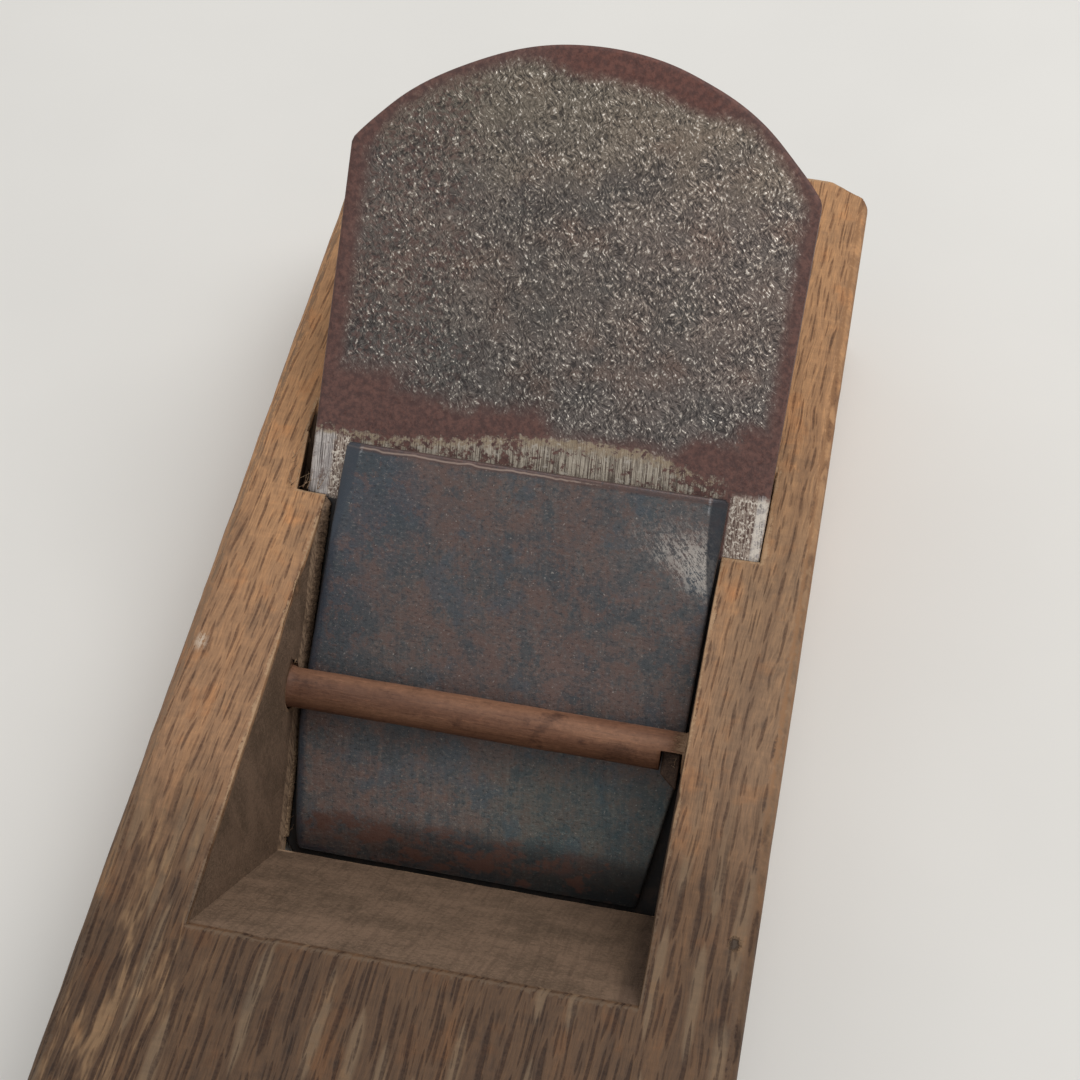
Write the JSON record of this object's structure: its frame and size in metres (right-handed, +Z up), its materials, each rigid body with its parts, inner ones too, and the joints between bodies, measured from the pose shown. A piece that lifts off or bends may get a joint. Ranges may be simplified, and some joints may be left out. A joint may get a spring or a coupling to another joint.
{
  "type": "japanese kanna plane",
  "caption": "Pulled wooden hand plane: oak body with throat and mouth, round-headed wedge blade, chip breaker and wooden press pin.",
  "frame": {"origin": "middle of the sole, where the body rests", "axes": "+X to the right seen from the front end, +Y along the body to the end that the blade leans to, +Z up"},
  "size_m": [0.088, 0.29, 0.0808],
  "materials": {
    "oak": "bare planed oak, darkened by handling, short dark flecks along the length",
    "pin_wood": "bare reddish-brown dowel, polished by the blade",
    "chock_wood": "bare dark brown wood",
    "forged_iron": "rough fine-grained forge texture with a smooth red-brown rust border",
    "ground_steel": "ground, scratched along the blade, light rust",
    "blued_plate": "slate blue-black plate mottled with red-brown rust"
  },
  "bodies": {
    "dai": {"dai": "oak", "press_pin": "pin_wood", "pin_chock": "chock_wood"},
    "blade": {"blade_iron": "forged_iron", "blade_steel": "ground_steel"},
    "chip_breaker": {"chip_breaker": "blued_plate"}
  },
  "joints": [
    {"name": "blade_slide", "type": "slide", "parent": "dai", "child": "blade", "axis": [0, 0.7959, 0.6054], "range_m": [-0.0018, 0.05]},
    {"name": "chip_slide", "type": "slide", "parent": "blade", "child": "chip_breaker", "axis": [0, 0.7809, 0.6247], "range_m": [-0.0018, 0.03]}
  ]
}
